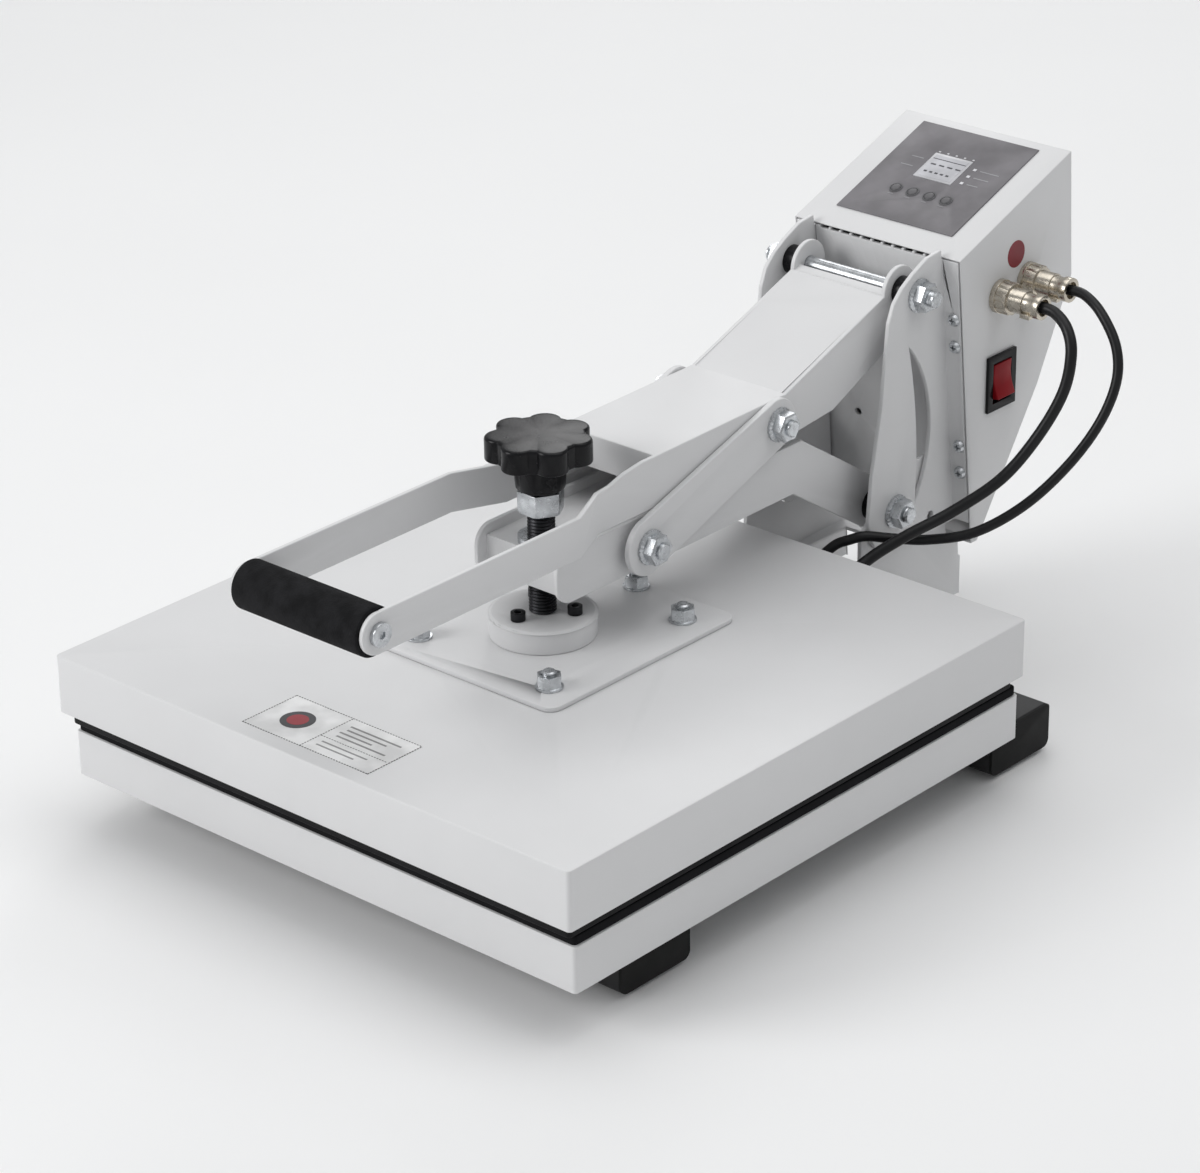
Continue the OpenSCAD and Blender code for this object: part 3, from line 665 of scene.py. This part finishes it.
def cover_label():
    """A caption label: film, dashed border and dividers, bars that stand for text, and a round mark."""
    flat("label_film", [(LABEL_LEFT, LABEL_FRONT, LABEL_RIGHT, LABEL_BACK, 0.12)], at, "heated_head",
         (0.72, 0.72, 0.72), 0.35)
    lines = []
    for y in (LABEL_FRONT, LABEL_BACK - LABEL_LINE):
        lines += dashes(LABEL_LEFT, y, LABEL_RIGHT, y, LABEL_LINE, INK_LIFT)
    for x in (LABEL_LEFT, LABEL_SPLIT, LABEL_RIGHT - LABEL_LINE):
        lines += dashes(x, LABEL_FRONT, x, LABEL_BACK, LABEL_LINE, INK_LIFT)
    lines += dashes(LABEL_SPLIT + LABEL_LINE, -168.4, LABEL_RIGHT, -168.4, 0.5, INK_LIFT)
    flat("label_lines", lines, at, "heated_head", (0.09, 0.09, 0.09))
    bars = [(-4 + 1.5 * (i % 2), -150 - 4.2 * i - 1.4, 34 - 7 * (i % 3), -150 - 4.2 * i, INK_LIFT)
            for i in range(4)]
    bars += [(-4, -173.4 - 4.4 * i, 30 - 6 * i, -172.2 - 4.4 * i, INK_LIFT) for i in range(2)]
    flat("label_bars", bars, at, "heated_head", (0.25, 0.25, 0.25))
    disc("label_mark", "heated_head", at(*MARK_PLACE, 0.05), ALONG_Z, 10, 0.2,
         plastic("ink_mark", (0.05, 0.05, 0.055), 0.5))
    disc("label_mark_inner", "heated_head", at(*MARK_PLACE, 0.1), ALONG_Z, 6.2, 0.2,
         plastic("ink_mark_red", (0.30, 0.03, 0.04), 0.5))


cover_label()

# ---------------------------------------------------------------- control panel and box side
PANEL_RISE, PANEL_RUN = 38, 105
TILT = math.atan2(PANEL_RISE, PANEL_RUN)
PANEL_FOOT = (306, 157)
PRINT_LIFT = 0.92
DISPLAY_LEFT, DISPLAY_RIGHT = -14.3, 10.3
BUTTON_FIRST, BUTTON_PITCH, BUTTON_ROW = -18.6, 12.7, 40.3
SIDE_DOT_PLACE = at(63.02, 357, 144)


def on_panel(x, s, h):
    """The frame's place for a point of the sloped panel: s up the slope from its foot, h off the face."""
    y, z = PANEL_FOOT
    return at(x, y + s * math.cos(TILT) - h * math.sin(TILT), z + s * math.sin(TILT) + h * math.cos(TILT))


def display():
    """The lit part of the display and its digits, as plain dashes."""
    flat("display_glow", [(DISPLAY_LEFT, 56.6, DISPLAY_RIGHT, 77.4, 1.02)], on_panel, "base",
         (0.56, 0.56, 0.59), 0.2)
    marks = [(-12.4 + 6.2 * i, 68, -8.6 + 6.2 * i, 69.2, 1.1) for i in range(4)]
    marks += [(-12.4 + 4.1 * i, 60.4, -10.2 + 4.1 * i, 61.8, 1.1) for i in range(5)]
    marks += [(DISPLAY_LEFT, 73.6, DISPLAY_RIGHT, 74.2, 1.1)]
    flat("display_dashes", marks, on_panel, "base", (0.05, 0.05, 0.06), 0.4)


def panel_prints():
    """Bars that stand for the panel's captions, and its small lamps."""
    captions = [(-31 + 2 * i, 62 + 9 * i, -22 + 2 * i, 62.8 + 9 * i, PRINT_LIFT) for i in range(2)]
    captions += [(22, 58.2 + 7 * i, 30 + 3 * i, 59 + 7 * i, PRINT_LIFT) for i in range(3)]
    captions += [(-20.6 + BUTTON_PITCH * i, 34, -16.6 + BUTTON_PITCH * i, 34.6, PRINT_LIFT)
                 for i in range(4)]
    flat("panel_print", captions, on_panel, "base", (0.27, 0.27, 0.28))
    lamps = [(17, 57.6 + 7 * i, 19.2, 59.6 + 7 * i, 1.0) for i in range(3)]
    lamps += [(-15 + 6.4 * i, 80.2, -13.6 + 6.4 * i, 81.2, PRINT_LIFT) for i in range(5)]
    flat("panel_lamps", lamps, on_panel, "base", (0.62, 0.62, 0.64))


def button_ring(number):
    """The raised ring in the panel's film round a button."""
    place = on_panel(BUTTON_FIRST + BUTTON_PITCH * number, BUTTON_ROW, 0.85)
    off_panel = on_panel(0, 0, 1) - on_panel(0, 0, 0)
    profile = [(0, 3.5), (0.3, 3.6), (0.3, 4.3), (0, 4.4)]
    lathe(f"button_ring_{number + 1}", "base", place, off_panel, profile,
          plastic(f"ink_ring_{number}", (0.10, 0.10, 0.105), 0.4))


display()
panel_prints()
for number in range(4):
    button_ring(number)
disc("side_dot", "base", SIDE_DOT_PLACE, ALONG_X, 8.5, 0.15,
     plastic("dot_red", (0.20, 0.012, 0.02), 0.45))

# ---------------------------------------------------------------- studio
FLOOR_HALF = 15
# Each light: its name, place, target, side and power.
SOFTBOXES = (
    ("key", (-1.7, -2.9, 1.75), (0, 0, 0.1), 1.7, 60),
    ("top", (-0.3, 0.3, 3.0), (0, 0, 0.1), 2.4, 25),
    ("fill", (1.5, 0.7, 2.6), (1.0, 0.4, 0), 2.2, 15),
    ("rim", (-1.5, 2.2, 1.8), (0, 0.1, 0.2), 1.2, 12),
)


def paper_floor():
    """A plain pale floor that isn't part of the press."""
    floor = bpy.data.objects.new("floor", bpy.data.meshes.new("floor"))
    corners = [(u * FLOOR_HALF, v * FLOOR_HALF, 0) for u, v in ((-1, -1), (1, -1), (1, 1), (-1, 1))]
    floor.data.from_pydata(corners, [], [(0, 1, 2, 3)])
    LINK(floor)
    paper = Shader("paper", (0.90, 0.90, 0.90), 0.9)
    paper.tint(paper.noise(3), 0.995, 1.005)
    floor.data.materials.append(paper.mat)


def studio_world():
    """Even, faintly cool light from all round."""
    world = bpy.data.worlds.new("studio")
    world.use_nodes = True
    background = world.node_tree.nodes["Background"]
    background.inputs["Color"].default_value = (0.97, 0.985, 1.0, 1)
    background.inputs["Strength"].default_value = 0.40
    bpy.context.scene.world = world


def softbox(name, place, target, size, power):
    """A square lamp at place that faces target."""
    light = bpy.data.objects.new(name, bpy.data.lights.new(name, "AREA"))
    light.data.shape = "SQUARE"
    light.data.size = size
    light.data.energy = power
    light.location = place
    light.rotation_euler = (Vector(target) - Vector(place)).to_track_quat("-Z", "Y").to_euler()
    LINK(light)


paper_floor()
studio_world()
for box in SOFTBOXES:
    softbox(*box)
bpy.context.scene.view_settings.view_transform = "Standard"
bpy.context.scene.view_settings.look = "None"
bpy.context.scene.view_settings.exposure = 0.0
